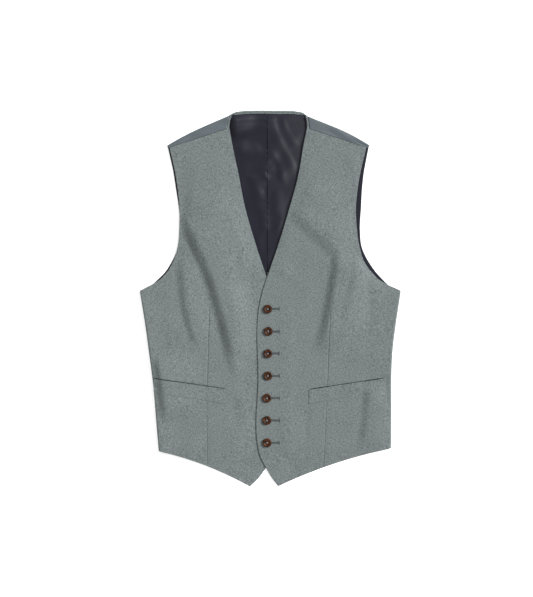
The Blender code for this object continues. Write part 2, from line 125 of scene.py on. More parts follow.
# Creases, each walked downwards or to the right with the high side on its left hand:
# its line, how high the cloth stands, half the width of its steep side, and how far it
# takes to sink again behind that. A height below 0 is a soft trough.
CREASES = {
    "front_right": [
        ([(-164, 156), (-144, 122), (-124, 78), (-104, 31),
          (-90, -15), (-77, -66), (-66, -110), (-48, -146)], 8.8, 10.6, 82),
        ([(-156, 76), (-151, 14), (-144, -28), (-134, -62), (-122, -96)], 4.2, 7.5, 26),
        ([(-152, 152), (-108, 146), (-60, 152)], 1.8, 13.0, 36),
        ([(-74, -92), (-48, -104), (-18, -113)], -1.0, 7.0, 0),
        ([(-59, -164), (-60, -222)], -1.2, 9.0, 0),
        ([(-112, -222), (-112, -272)], -0.9, 8.0, 0),
        ([(-55, 94), (-56, 38)], -1.0, 7.0, 0),
        ([(-176, -20), (-172, -70), (-170, -110)], 1.2, 10.0, 20),
        ([(-200, -92), (-193, -128), (-188, -160), (-180, -214)], 6.0, 9.0, 40),
    ],
    "front_left": [
        ([(30, 150), (64, 117), (96, 88), (118, 58)], 4.4, 12.0, 44),
        ([(110, 96), (109, 62), (102, 14), (91, -44), (74, -96)], 7.0, 9.5, 46),
        ([(146, 80), (134, 10), (114, -72)], 2.2, 7.0, 30),
        ([(167, 52), (166, -56)], -1.1, 8.0, 0),
        ([(48, 180), (74, 164), (102, 144)], 1.6, 12.0, 26),
        ([(116, 254), (140, 212)], 1.2, 12.0, 20),
        ([(165, -138), (160, -200), (151, -264)], 3.6, 8.0, 30),
        ([(196, -132), (195, -184)], -1.3, 8.0, 0),
        ([(60, -176), (59, -258)], -1.0, 8.0, 0),
        ([(27, -262), (26, -304)], -0.8, 8.0, 0),
    ],
}
PUFF = 2.0  # how far the fronts stand off the lining in the chest and sides

DART_DEPTH = (0.6, 1.0)  # below and above the pocket
DART_WIDTH = 0.7
FRONT_LENGTH = 609.0  # from the points to the top of the edge; a share counts along it
MOUTH_SHARE = {"front_right": 0.2485, "front_left": 0.2465}  # of the way up to a pocket's mouth
MOUTH_ENDS = {"front_right": (-198.0, -76.8), "front_left": (65.1, 194.1)}
MOUTH_DEPTH = 2.6
UNDERARM = 0.547  # share of the way up the front at which the armhole starts


def ease(low, high, value):
    """0 below low, 1 above high, and smooth between."""
    t = np.clip((np.asarray(value, float) - low) / (high - low), 0, 1)
    return t * t * (3 - 2 * t)


def smooth_line(points, steps=14):
    """A smooth line through points whose second coordinate always rises."""
    across, along = np.array(points, float).T
    step = np.diff(along)
    slope = np.diff(across) / step
    inner = (slope[:-1] * step[1:] + slope[1:] * step[:-1]) / (step[:-1] + step[1:])
    slopes = np.concatenate([slope[:1], inner, slope[-1:]])
    line = [(across[0], along[0])]
    for k, length in enumerate(step):
        for t in np.arange(1, steps + 1) / steps:
            line.append((
                (1 + 2 * t) * (1 - t) ** 2 * across[k]
                + t * (1 - t) ** 2 * length * slopes[k]
                + t * t * (3 - 2 * t) * across[k + 1]
                + t * t * (t - 1) * length * slopes[k + 1],
                along[k] + t * length,
            ))
    return np.array(line)


def x_at(line, y):
    """Where a line that runs upward crosses heights."""
    return np.interp(y, line[:, 1], line[:, 0])


def bent_line(points, steps=6):
    """A smooth path through points in any direction (Catmull-Rom)."""
    knots = np.array(points, float)
    padded = np.vstack([2 * knots[0] - knots[1], knots, 2 * knots[-1] - knots[-2]])
    path = []
    for a, b, c, d in zip(padded, padded[1:], padded[2:], padded[3:]):
        for t in np.arange(steps) / steps:
            path.append(0.5 * (2 * b + (c - a) * t + (2 * a - 5 * b + 4 * c - d) * t**2
                               + (3 * b - a - 3 * c + d) * t**3))
    return np.vstack([path, knots[-1]])


def laid_out(creases):
    """The same creases, each with its line made smooth."""
    return [(bent_line(line), *sizes) for line, *sizes in creases]


def beside(path, x, y):
    """For each place, how far it lies to the left of a path, and how far along the path."""
    place = np.stack([np.ravel(x), np.ravel(y)], 1)
    best = np.full(len(place), np.inf)
    left = np.zeros(len(place))
    along = np.zeros(len(place))
    lengths = np.linalg.norm(np.diff(path, axis=0), axis=1)
    total = lengths.sum()
    passed = 0.0
    for start, step, length in zip(path, np.diff(path, axis=0), lengths):
        t = np.clip((place - start) @ step / length**2, 0, 1)
        away = place - start - t[:, None] * step
        distance = np.linalg.norm(away, axis=1)
        side = np.sign(step[0] * away[:, 1] - step[1] * away[:, 0])
        nearer = distance < best
        best = np.where(nearer, distance, best)
        left = np.where(nearer, side * distance, left)
        along = np.where(nearer, (passed + t * length) / total, along)
        passed += length
    return left.reshape(np.shape(x)), along.reshape(np.shape(x))


def ripple(x, y, seed, size):
    """Slight uneven waves, about 1 high, from a few crossed sines."""
    rng = np.random.default_rng(seed)
    total = np.zeros(np.shape(x))
    for _ in range(7):
        angle, phase = rng.uniform(0, 2 * math.pi, 2)
        length = size * rng.uniform(0.6, 1.7)
        total += np.sin(2 * math.pi * (x * math.cos(angle) + y * math.sin(angle)) / length + phase)
    return total / 3


def crease_height(creases, x, y, free=1.0):
    """How far creases raise the cloth, or lower it where they are troughs, at each place."""
    total = np.zeros(np.shape(x))
    for path, rise, steep, reach in creases:
        left, along = beside(path, x, y)
        strength = ease(0, 0.22, along) * ease(0, 0.3, 1 - along)
        if reach:
            shape = ease(-steep, steep, left) * np.exp(-((np.maximum(left - steep, 0) / reach) ** 2)) * free
        else:
            shape = np.exp(-((left / steep) ** 2))
        total += rise * shape * strength
    return total


class Front:
    """One front's outline and the height of its cloth."""

    def __init__(self, name):
        outline = FRONTS[name]
        self.name = name
        self.sign = -1 if name == "front_right" else 1
        self.edge = smooth_line(outline["edge"])
        self.side = smooth_line(outline["side"])
        self.armhole = smooth_line(outline["armhole"])
        self.outer = np.vstack([self.side, self.armhole[1:]])
        self.dart = smooth_line(outline["dart"])
        self.dart_top = outline["dart_top"]
        self.creases = laid_out(CREASES[name])
        self.neck_tip = np.array(outline["neck_tip"])
        end = np.array(outline["shoulder_end"])
        self.shoulder_end = end
        self.coming_free = 46 if name == "front_right" else 30  # width over which it lifts off the edge
        self.along = (end - self.neck_tip) / np.linalg.norm(end - self.neck_tip)
        self.upward = self.sign * np.array([-self.along[1], self.along[0]])

    def height(self, x, y):
        """Height of the middle of the cloth."""
        from_edge = np.abs(x - x_at(self.edge, y))
        from_side = np.abs(x - x_at(self.outer, y))
        in_armhole = ease(-20, 30, y)
        start = 32 - 46 * ease(20, 66, y)
        free = ease(start, start + self.coming_free, from_edge) * (1 - 0.75 * ease(225, 290, y))
        lift = PUFF * free * ease(-318, -250, y) * (1 - in_armhole * (1 - ease(0, 45, from_side)))
        lift += 0.9 * (1 - in_armhole) * (1 - ease(0, 40, from_side))
        lift += crease_height(self.creases, x, y, free * (0.25 + 0.75 * ease(0, 16, from_side)))
        lift = np.maximum(lift + 0.35 * free * ripple(x, y, 5, 46), 0)
        stacked = 0.0
        if self.sign > 0:
            out = np.hypot(np.maximum(x - 14, 0), np.maximum(np.maximum(y - 40, -287 - y), 0))
            stacked = STACK * (1 - ease(2, 34, out))
        rest = FLOOR_Z + (FRONT_Z - FLOOR_Z) * ease(-290, -246, y)
        shoulder = (SHOULDER_TOP - WOOL / 2 - FRONT_Z) * ease(215, 262, y)
        return rest + np.maximum(lift, shoulder) + stacked

    def row_ends(self, share):
        """Height of a row at the front edge and at the side or armhole."""
        inner = self.edge[0][1] + (self.edge[-1][1] - self.edge[0][1]) * share
        if share <= UNDERARM:
            low, high, part = self.side[0][1], self.side[-1][1], share / UNDERARM
        else:
            low, high = self.armhole[0][1], self.armhole[-1][1]
            part = (share - UNDERARM) / (1 - UNDERARM)
        return inner, low + (high - low) * part

    def row_y(self, share, x):
        """Height of a row where it passes x."""
        inner_y, outer_y = self.row_ends(share)
        inner_x, outer_x = x_at(self.edge, inner_y), x_at(self.outer, outer_y)
        part = (x - inner_x) / (outer_x - inner_x)
        bow = 6.3 * (1 - ease(0, 0.3, share))
        return inner_y + (outer_y - inner_y) * part + 4 * bow * part * (1 - part)

    def roll(self, y):
        """Radius and middle of the roll round the side."""
        fold = x_at(self.side, y)
        radius = (self.height(fold - self.sign * 3, y) - FLOOR_Z) / 2
        return float(radius), float(fold - self.sign * (radius + WOOL / 2))


# Distances from an edge at which points follow its rounding, and from a sewn line.
ROUNDING = [0.0, 0.1, 0.3, 0.65, 1.1, 1.8]
BESIDE_LINE = [-2.0, -1.1, -0.6, -0.3, 0.0, 0.3, 0.6, 1.1, 2.0]
SPACING = 2.5
STRIP_COLUMNS = 12  # of a front's points, those that carry on up the strip beside the neck


def spaced(start, end, spacing):
    """Even steps from start to end, without the two ends."""
    count = max(1, round(abs(end - start) / spacing))
    return list(np.linspace(start, end, count + 1)[1:-1])


def front_grid(front):
    """The middle of the cloth: rows from hem to shoulder, then up the strip beside the neck."""
    length = front.edge[-1][1] - front.edge[0][1]
    near = [d / length for d in ROUNDING]
    mouth = MOUTH_SHARE[front.name]
    lines = [mouth + d / length for d in (-1.4, -0.3, 0.3, 0.8, 1.3, 1.9, 2.8)]
    shares = near + spaced(near[-1], lines[0], SPACING / length) + lines
    shares += spaced(lines[-1], UNDERARM, SPACING / length) + [UNDERARM]
    shares += [UNDERARM + d / length for d in ROUNDING[1:]]
    shares += spaced(shares[-1], 1 - near[-1], SPACING / length) + [1 - d for d in near[::-1]]
    strip = ROUNDING[:-1] + [1.8, 2.4] + [STRIP_WIDTH - d for d in ROUNDING[4::-1]]
    counts = (round(96 / SPACING), round(98 / SPACING))
    rows = []
    turns = []
    inward = front.sign
    for share in shares:
        inner_y, outer_y = front.row_ends(share)
        inner_x = float(x_at(front.edge, inner_y))
        outer_x = float(x_at(front.outer, outer_y))
        if share <= UNDERARM:
            radius, outer_x = front.roll(outer_y)
        dart_x = float(x_at(front.dart, inner_y + 0.5 * (outer_y - inner_y)))
        dart_x = float(x_at(front.dart, front.row_y(share, dart_x)))
        xs = [inner_x + inward * d for d in strip]
        left_of_dart = dart_x + inward * BESIDE_LINE[0]
        xs += list(np.linspace(xs[-1], left_of_dart, counts[0] + 1)[1:-1])
        xs += [dart_x + inward * d for d in BESIDE_LINE]
        clear = outer_x - inward * ROUNDING[-1]
        xs += list(np.linspace(xs[-1], clear, counts[1] + 1)[1:-1])
        xs += [outer_x - inward * d for d in ROUNDING[::-1]]
        xs = np.array(xs)
        ys = front.row_y(share, xs)
        ys[-1] = outer_y
        zs = front.height(xs, ys)
        off_dart = np.abs(xs - x_at(front.dart, ys)) / DART_WIDTH
        reach = (1 - ease(front.dart_top - 22, front.dart_top, ys)) * DART_DEPTH[int(share > mouth)]
        zs -= reach * np.exp(-(off_dart**2))
        if abs(share - mouth) * length < 4:
            first, last = MOUTH_ENDS[front.name]
            along = ease(first - 2, first + 5, xs) * (1 - ease(last - 5, last + 2, xs))
            zs -= MOUTH_DEPTH * along * math.exp(-(((share - mouth) * length - 0.8) / 0.7) ** 2)
        turn = []
        if share <= UNDERARM:
            zs[-1] = FLOOR_Z + 2 * radius
            zs[-6:-1] += (zs[-1] - zs[-6:-1]) * ease(0.0, 1.0, np.linspace(0.1, 0.9, 5))
            for k in range(1, 11):
                angle = math.pi * k / 10
                x = outer_x + inward * radius * math.sin(angle)
                turn.append((x, outer_y, FLOOR_Z + radius * (1 + math.cos(angle))))
            for d in [2.5, 5.0] + [SIDE_TURN - d for d in ROUNDING[::-1]]:
                turn.append((outer_x - inward * d, outer_y, FLOOR_Z))
        rows.append(np.stack([xs, ys, zs], 1))
        turns.append(turn)
    width = len(rows[0])
    turn_width = max(len(turn) for turn in turns)
    over = strip_over(front, rows[-1][:len(strip)])
    grid = np.full((len(rows) + len(over), width + turn_width, 3), np.nan)
    for k, (row, turn) in enumerate(zip(rows, turns)):
        grid[k, :width] = row
        if turn:
            grid[k, width:] = turn
    for k, row in enumerate(over):
        grid[len(rows) + k, :len(strip)] = row
    return grid


def strip_over(front, start):
    """Rows that carry the strip beside the neck up to the shoulder fold and over it."""
    z = SHOULDER_TOP - WOOL / 2
    radius = z - 2.6
    back = front.upward * (radius + WOOL / 2)
    share = (np.linalg.norm(start[:, :2] - start[0, :2], axis=1) / STRIP_WIDTH)[:, None].clip(0, 1)
    foot = front.neck_tip + front.along * STRIP_WIDTH * share - back
    end = np.hstack([foot, np.full((len(start), 1), z)])
    rows = []
    for t in np.linspace(0, 1, 14)[1:]:
        belly = front.sign * math.sin(math.pi * t) * (1 - share)
        rows.append(start + (end - start) * t + np.hstack([belly, 0 * belly, 0 * belly]))
    for left in (1.8, 1.1, 0.65, 0.3, 0.1, 0.0):
        angle = math.pi / 2 - left / radius
        rows.append(end + [*(front.upward * radius * math.sin(angle)), radius * (math.cos(angle) - 1)])
    return rows


def shell(name, grid, thickness, rounding=None):
    """A closed cloth wall through a grid of middle points, with rounded edges; NaN is no cloth.

    Gives the piece and the area of its cloth in square metres.
    """
    half = thickness / 2
    rounding = rounding or half
    there = np.isfinite(grid[..., 0])
    number = np.full(there.shape, -1)
    number[there] = np.arange(there.sum())
    points = (grid[there] + PLACE) * MM
    whole = there[:-1, :-1] & there[1:, :-1] & there[:-1, 1:] & there[1:, 1:]
    faces = np.stack([number[:-1, :-1], number[:-1, 1:], number[1:, 1:], number[1:, :-1]], -1)[whole]
    middle = bpy.data.meshes.new(name)
    middle.from_pydata(points.tolist(), [], faces.tolist())
    normals = np.zeros(len(points) * 3, np.float32)
    middle.vertices.foreach_get("normal", normals)
    normals = normals.reshape(-1, 3)
    area = sum(polygon.area for polygon in middle.polygons)
    if np.median(normals[:, 2]) < 0:
        faces, normals = faces[:, ::-1], -normals
    ends = np.sort(np.concatenate([faces[:, [k, (k + 1) % 4]] for k in range(4)]), axis=1)
    edges, count = np.unique(ends, axis=0, return_counts=True)
    rim = np.unique(edges[count == 1])
    tree = KDTree(len(rim))
    for k in rim:
        tree.insert(points[k], int(k))
    tree.balance()
    away = np.array([tree.find(point)[2] for point in points]) / MM
    full = half * np.sqrt(1 - (1 - np.clip(away / rounding, 0, 1)) ** 2)
    shift = normals * (full * MM)[:, None]
    under = np.arange(len(points)) + len(points)
    under[rim] = rim
    everything = np.vstack([points + shift, points - shift])
    all_faces = np.vstack([faces, under[faces][:, ::-1]])
    used, all_faces = np.unique(all_faces, return_inverse=True)
    bpy.data.meshes.remove(middle)
    mesh = bpy.data.meshes.new(name)
    mesh.from_pydata(everything[used].tolist(), [], all_faces.reshape(-1, 4).tolist())
    mesh.shade_smooth()
    piece = bpy.data.objects.new(name, mesh)
    bpy.context.scene.collection.objects.link(piece)
    return piece, area


def stand_for(piece, node, material):
    """Gives a piece its material, and its solid's place on the body."""
    piece.data.materials.append(material)
    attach(piece, "root")
    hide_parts(node)


def linear(colour):
    """A linear colour with alpha from an sRGB hex value."""
    parts = [int(colour[k:k + 2], 16) / 255 for k in (1, 3, 5)]
    return [p / 12.92 if p <= 0.04045 else ((p + 0.055) / 1.055) ** 2.4 for p in parts] + [1.0]


def add(tree, kind, inputs=None, **settings):
    """Adds a node, with its settings, and its inputs' values or links."""
    made = tree.nodes.new(kind)
    for name, value in settings.items():
        setattr(made, name, value)
    for name, value in (inputs or {}).items():
        if isinstance(value, bpy.types.NodeSocket):
            tree.links.new(value, made.inputs[name])
        else:
            made.inputs[name].default_value = value
    return made


def new_material(name, finish):
    """A material with its tree and its shader, which has the finish given for its inputs."""
    made = bpy.data.materials.new(name)
    made.use_nodes = True
    shader = made.node_tree.nodes["Principled BSDF"]
    for part, value in finish.items():
        shader.inputs[part].default_value = value
    return made, made.node_tree, shader


# Worsted wool, woven pick and pick from a light and a dark yarn: matte, with a fine
# mottled grain. Yarns lie 0.5 mm apart; the grain is drawn at 1.1 mm so that it shows.
suiting, tree, shader = new_material("worsted wool, pick-and-pick woven", {
    "Roughness": 0.9, "IOR": 1.5, "Specular IOR Level": 0.25, "Sheen Weight": 0.12, "Sheen Roughness": 0.5})
YARN = 0.0011
WAVE_PERIOD = 0.314  # of Blender's wave texture at scale 1
place = add(tree, "ShaderNodeTexCoord").outputs["Object"]
wavy = {"Vector": place, "Scale": WAVE_PERIOD / YARN, "Distortion": 1.6, "Detail": 2.0, "Detail Scale": 0.7}
warp = add(tree, "ShaderNodeTexWave", wavy, bands_direction="X")
weft = add(tree, "ShaderNodeTexWave", wavy, bands_direction="Y")
yarns = add(tree, "ShaderNodeMath", {0: warp.outputs["Fac"], 1: weft.outputs["Fac"]}, operation="MULTIPLY")
upright = add(tree, "ShaderNodeMapping", {"Vector": place, "Scale": (1 / 0.0012, 1 / 0.0034, 1 / 0.003)})
level = add(tree, "ShaderNodeMapping", {"Vector": place, "Scale": (1 / 0.0034, 1 / 0.0012, 1 / 0.003)})
slubs_up = add(tree, "ShaderNodeTexNoise", {"Vector": upright.outputs[0], "Scale": 1.0, "Detail": 3.0})
slubs_level = add(tree, "ShaderNodeTexNoise", {"Vector": level.outputs[0], "Scale": 1.0, "Detail": 3.0})
slubs = add(tree, "ShaderNodeMath", {0: slubs_up.outputs["Fac"], 1: slubs_level.outputs["Fac"]},
            operation="ADD")
grain = add(tree, "ShaderNodeMath", {0: yarns.outputs[0], 1: 0.35, 2: slubs.outputs[0]},
            operation="MULTIPLY_ADD")
tone = add(tree, "ShaderNodeMapRange", {"Value": grain.outputs[0], "From Min": 0.78, "From Max": 1.42})
cloudy = add(tree, "ShaderNodeTexNoise", {"Vector": place, "Scale": 22.0, "Detail": 2.0})
mixed = add(tree, "ShaderNodeMix", {"Factor": tone.outputs[0], "A": linear("#525959"),
                                    "B": linear("#858d8d")}, data_type="RGBA")
faded = add(tree, "ShaderNodeMapRange", {"Value": cloudy.outputs["Fac"], "To Min": 0.96, "To Max": 1.04})
colour = add(tree, "ShaderNodeVectorMath", {0: mixed.outputs["Result"], "Scale": faded.outputs[0]},
             operation="SCALE")
bump = add(tree, "ShaderNodeBump", {"Height": grain.outputs[0], "Strength": 0.5, "Distance": 0.00025})
tree.links.new(colour.outputs[0], shader.inputs["Base Color"])
tree.links.new(bump.outputs[0], shader.inputs["Normal"])

fronts = {name: Front(name) for name in FRONTS}
for name, front in fronts.items():
    piece, area = shell(name + "_cloth", front_grid(front), WOOL)
    stand_for(piece, name, suiting)

# ------------------------------
# Welts: a folded strip of the fronts' own suiting at each pocket, cut so that the weave
# runs on across it. Each is sewn flush along its foot, and its top stands off the mouth.

WELT = 1.0
WELT_FOOT_SHARE = 0.202
WELTS = {  # front, the ends across it, and where and how far the mouth gapes
    "welt_right": ("front_right", (-76.8, -198.2), [(-176, 14, 0.5), (-100, 10, 0.3)]),
    "welt_left": ("front_left", (65.2, 195.0), [(88, 12, 0.5), (130, 8, 0.3), (174, 12, 0.6)]),
}

for name, (front_name, ends, gapes) in WELTS.items():
    front = fronts[front_name]
    xs = np.linspace(ends[0], ends[1], 60)
    near = front.sign * np.array(ROUNDING[:5])
    xs = np.concatenate([ends[0] + near, xs[1:-1], (ends[1] - near)[::-1]])
    mouth = MOUTH_SHARE[front_name]
    rise_by = ROUNDING[:5]
    steps = [WELT_FOOT_SHARE + d / FRONT_LENGTH for d in rise_by]
    steps += spaced(steps[-1], mouth - rise_by[-1] / FRONT_LENGTH, 2.2 / FRONT_LENGTH)
    steps += [mouth - d / FRONT_LENGTH for d in rise_by[::-1]]
    rows = []
    for share in steps:
        ys = front.row_y(share, xs)
        up = ease(0, 1, (share - WELT_FOOT_SHARE) / (mouth - WELT_FOOT_SHARE))
        proud = WOOL / 2 - 0.28 + (WELT / 2 + 0.3) * up
        proud = proud + up**3 * sum(g * np.exp(-(((xs - at) / w) ** 2)) for at, w, g in gapes)
        proud = proud - 0.35 * (1 - ease(0, 6, np.abs(xs - ends[0]))) * up
        rows.append(np.stack([xs, ys, front.height(xs, ys) + proud], 1))
    piece, area = shell(name + "_cloth", np.array(rows), WELT)
    stand_for(piece, name, suiting)

# Pocket mouths: a near-black ribbon of pocketing laid in each mouth. It paints the shade inside the gap as an
# uneven dark line where each mouth gapes.
mouth_shade_ribbon, _, _ = new_material("near-black ribbon, painted mouth shade", {"Base Color": linear("#1d1f21"), "Roughness": 0.95})


def joined(name, shapes, material):
    """One piece from many small shapes, each given as its points in millimetres and its faces."""
    points = []
    faces = []
    for shape, its_faces in shapes:
        faces += [[k + len(points) for k in face] for face in its_faces]
        points += [list((np.array(point) + PLACE) * MM) for point in shape]
    mesh = bpy.data.meshes.new(name)
    mesh.from_pydata(points, [], faces)
    mesh.materials.append(material)
    mesh.shade_smooth()
    piece = bpy.data.objects.new(name, mesh)
    bpy.context.scene.collection.objects.link(piece)
    return piece


def cord(path, radius, sides=8, closed=False):
    """A round cord along a path, with closed ends; its radius may change along it."""
    path = np.array(path, float)
    count = len(path)
    ahead = np.roll(path, -1, 0) if closed else np.vstack([path[1:], 2 * path[-1] - path[-2]])
    behind = np.roll(path, 1, 0) if closed else np.vstack([2 * path[0] - path[1], path[:-1]])
    along = ahead - behind
    along /= np.linalg.norm(along, axis=1)[:, None]
    across = np.cross(along, [0, 0, 1.0])
    across[np.linalg.norm(across, axis=1) < 1e-6] = [1, 0, 0]
    across /= np.linalg.norm(across, axis=1)[:, None]
    upward = np.cross(across, along)
    radius = np.broadcast_to(np.array(radius, float), (count,))
    points = []
    for k in range(count):
        for s in range(sides):
            angle = 2 * math.pi * s / sides
            points.append(path[k] + radius[k] * (math.cos(angle) * across[k] + math.sin(angle) * upward[k]))
    faces = []
    for k in range(count if closed else count - 1):
        a, b = k * sides, (k + 1) % count * sides
        for s in range(sides):
            n = (s + 1) % sides
            faces.append([a + s, b + s, b + n, a + n])
    if not closed:
        faces += [list(range(sides)), list(range((count - 1) * sides, count * sides))[::-1]]
    return points, faces


MOUTH_LINES = {  # along each mouth from its inner end: x, and half the width of what shows
    "front_right": [(-77, 0.1), (-92, 0.18), (-108, 0.32), (-128, 0.4), (-142, 0.62), (-152, 0.42),
                    (-170, 0.62), (-188, 0.9), (-198, 0.8)],
    "front_left": [(66, 0.25), (74, 0.55), (80, 0.95), (96, 0.9), (102, 0.3), (120, 0.25), (128, 0.6),
                   (136, 0.55), (142, 0.25), (158, 0.3), (165, 0.95), (182, 0.9), (188, 0.3), (194, 0.12)],
}
shapes = []
for front_name, line in MOUTH_LINES.items():
    front = fronts[front_name]
    xs = np.linspace(line[0][0], line[-1][0], 90)
    knots = sorted(line)
    half = np.interp(xs, [x for x, _ in knots], [w for _, w in knots])
    ys = front.row_y(MOUTH_SHARE[front_name] + 0.9 / FRONT_LENGTH, xs)
    path = np.stack([xs, ys, front.height(xs, ys) + WOOL / 2 - half * 0.75], 1)
    shapes.append(cord(path, half))
piece = joined("pocket_mouth_shade", shapes, mouth_shade_ribbon)
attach(piece, "root")

# Fell stitches that hold down each welt's inner end and its foot, worked in dark grey silk. Their dark colour
# also paints the shade line along these seams.
fell_thread_and_shade, _, _ = new_material("silk thread, dark grey, painting seam shade", {"Base Color": linear("#3d4243"), "Roughness": 0.7})
FELL_STITCH = 2.6
FELL_ENDS = {"front_left": (65.0, 134.0), "front_right": (-76.6, -181.0)}  # along each foot
shapes = []
for name, (end_x, foot_end) in FELL_ENDS.items():
    front = fronts[name]
    if name == "front_left":
        shares = np.linspace(WELT_FOOT_SHARE, MOUTH_SHARE[name] - 0.4 / FRONT_LENGTH, 16)
        ys = np.array([front.row_y(share, end_x) for share in shares])
        path = np.stack([end_x + 0 * ys, ys, front.height(end_x + 0 * ys, ys) + WOOL / 2 - 0.02], 1)
        shapes.append(cord(path, 0.26, sides=6))
    for k in range(int(abs(foot_end - end_x) / FELL_STITCH)):
        xs = end_x + front.sign * FELL_STITCH * (k + np.array([0.0, 0.35, 0.72]))
        ys = front.row_y(WELT_FOOT_SHARE - 0.25 / FRONT_LENGTH, xs)
        path = np.stack([xs, ys, front.height(xs, ys) + WOOL / 2 + np.array([-0.12, 0.02, -0.12])], 1)
        shapes.append(cord(path, 0.2, sides=6))
piece = joined("welt_stitches", shapes, fell_thread_and_shade)
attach(piece, "root")

# ------------------------------
# Back: two halves of blue-grey satin joined at the centre back. The fronts' turned
# edges are sewn to its sides underneath, and it comes forward over the shoulders.

ARMHOLES = {
    "back_right": [
        (-211.0, 13.9), (-193.0, 31.5), (-179.4, 45.0), (-169.5, 60.0),
        (-158.0, 86.0), (-153.8, 120.0), (-155.0, 147.0), (-160.7, 187.9),
        (-167.5, 228.7), (-174.8, 258.0),
    ],
    "back_left": [
        (211.0, 13.9), (192.6, 31.5), (180.2, 45.0), (169.5, 60.0),
        (156.4, 86.0), (152.8, 115.0), (154.7, 157.0), (156.4, 187.9),
        (161.5, 228.7), (167.4, 258.0),
    ],
}
BACK_HEM_Y = -246.0
NECKLINE = [(0.0, 0.0), (0.35, 0.05), (0.62, 0.22), (0.84, 0.55), (1.0, 1.0)]  # shares: across, up
NECKLINE_Y = 303.0
NECK_SHARE = 0.39  # how far across the back the neck's corner is
FADE_Y = 262.0  # where the creases of the back have died out

# Creases of the back, given as the fronts' are: drag lines from the armholes to the waist.
BACK_CREASES = laid_out([
    ([(-120, 120), (-84, 40), (-60, -40)], 0.8, 7.0, 26),
    ([(-128, 10), (-104, -40), (-90, -110)], 0.6, 6.0, 20),
    ([(116, 110), (92, 30), (60, -52)], 0.7, 8.0, 24),
    ([(132, 0), (118, -70), (112, -120)], 0.6, 6.0, 18),
    ([(-70, -120), (-8, -128), (58, -118)], 0.5, 9.0, 20),
    ([(-90, 190), (-30, 176), (40, 182)], 0.5, 10.0, 26),
])


def even(start, end, spacing, near=(0.1, 0.3, 0.6, 1.0)):
    """Places from start to end at even steps, with closer ones for the rounding of both ends."""
    sign = 1 if end > start else -1
    inner = spaced(start + sign * near[-1], end - sign * near[-1], spacing)
    first = [start] + [start + sign * d for d in near]
    return first + inner + [end - sign * d for d in near[::-1]] + [end]


class Back:
    """One half of the back: its outline, and the height of its cloth."""

    def __init__(self, name, front):
        self.sign = front.sign
        self.upward = front.upward
        side = []
        for y in np.linspace(front.side[0][1], front.side[-1][1], 60):
            radius, middle = front.roll(y)
            side.append((middle - self.sign * (SIDE_TURN + SEAM), y))
        self.side = np.array(side)
        self.armhole = smooth_line(ARMHOLES[name])
        clear = front.along * -0.3
        top = front_grid(front)
        last = np.where(np.isfinite(top[:, STRIP_COLUMNS, 0]))[0][-1]
        width = int(np.isfinite(top[last, :, 0]).sum())
        neck = top[last, STRIP_COLUMNS - 1, :2]
        tip = top[last, width - 1, :2]
        self.seam = np.array([neck + clear, tip]) + self.upward * SEAM
        self.radius = (SHOULDER_TOP - SATIN / 2 - BACK_Z) / 2
        corner = front.neck_tip + front.along * STRIP_WIDTH + clear
        fold = np.array([corner, front.shoulder_end])
        self.roll = fold - self.upward * (self.radius + SATIN / 2)
        self.start_x = CENTRE_X + self.sign * 0.05
        self.bow = 2.4 if self.sign < 0 else 3.2

    def outer_x(self, y):
        """Where the side or the armhole is."""
        return x_at(self.side if y < self.armhole[0][1] else self.armhole, y)

    def fold_at(self, part):
        """A place on the shoulder fold, from the neck (0) to the armhole (1); it bows up between."""
        part = np.asarray(part, float)[..., None]
        straight = self.roll[0] + (self.roll[1] - self.roll[0]) * part
        return straight + self.upward * self.bow * np.sin(np.pi * part**1.3)

    def neckline(self, share):
        """A place on the neckline, from the centre back seam (0) to the neck's corner (1)."""
        corner = self.roll[0]
        rise = np.interp(share, *np.array(NECKLINE).T)
        return np.array([self.start_x + (corner[0] - self.start_x) * share,
                         NECKLINE_Y + (corner[1] - NECKLINE_Y) * rise])

    def panel(self, inset, top_of):
        """Places of the flat part: rows up to the armhole's top, then on to the neck and shoulder."""
        wide = (0.006, 0.0018, 0.0006)
        shares = [0.0] + list(wide[::-1]) + spaced(0.006, NECK_SHARE, 0.013) + [NECK_SHARE]
        shares += spaced(NECK_SHARE, 0.992, 0.013) + [0.992, 0.996, 0.9985, 1.0]
        shares = np.array(shares)
        ys = even(BACK_HEM_Y, self.armhole[0][1] - 0.3, 2.9) + even(self.armhole[0][1] + 0.3, 224.0, 2.9)[:-5]
        rows = []
        for y in ys:
            outer = self.outer_x(y) - self.sign * inset
            xs = self.start_x + (outer - self.start_x) * shares
            rows.append(np.stack([xs, np.full(len(xs), y)], 1))
        tops = np.array([top_of(share) for share in shares])
        last = rows[-1]
        for t in [*np.linspace(0, 1, 30)[1:-1], 0.975, 0.99, 0.996, 1.0]:
            rows.append(last + (tops - last) * t)
        return shares, np.array(rows)


def back_lift(x, y):
    """How far the back and its lining rise off the surface that they lie on."""
    lift = np.maximum(crease_height(BACK_CREASES, x, y) + 0.12 * ripple(x, y, 11, 60) - 0.06, 0)
    return lift * ease(0, 30, FADE_Y - y)


def streaked_satin(name, streak, shades, finish):
    """A satin of two close shades, with the fine upright streaks of its floats; also gives their texture."""
    made, tree, shader = new_material(name, finish)
    place = add(tree, "ShaderNodeTexCoord").outputs["Object"]
    fine = add(tree, "ShaderNodeMapping", {"Vector": place, "Scale": [1 / size for size in streak]})
    floats = add(tree, "ShaderNodeTexNoise", {"Vector": fine.outputs[0], "Scale": 1.0, "Detail": 2.0})
    shade = add(tree, "ShaderNodeMix", {"Factor": floats.outputs["Fac"], "A": linear(shades[0]),
                                        "B": linear(shades[1])}, data_type="RGBA")
    tree.links.new(shade.outputs["Result"], shader.inputs["Base Color"])
    return made, tree, shader, floats.outputs["Fac"]


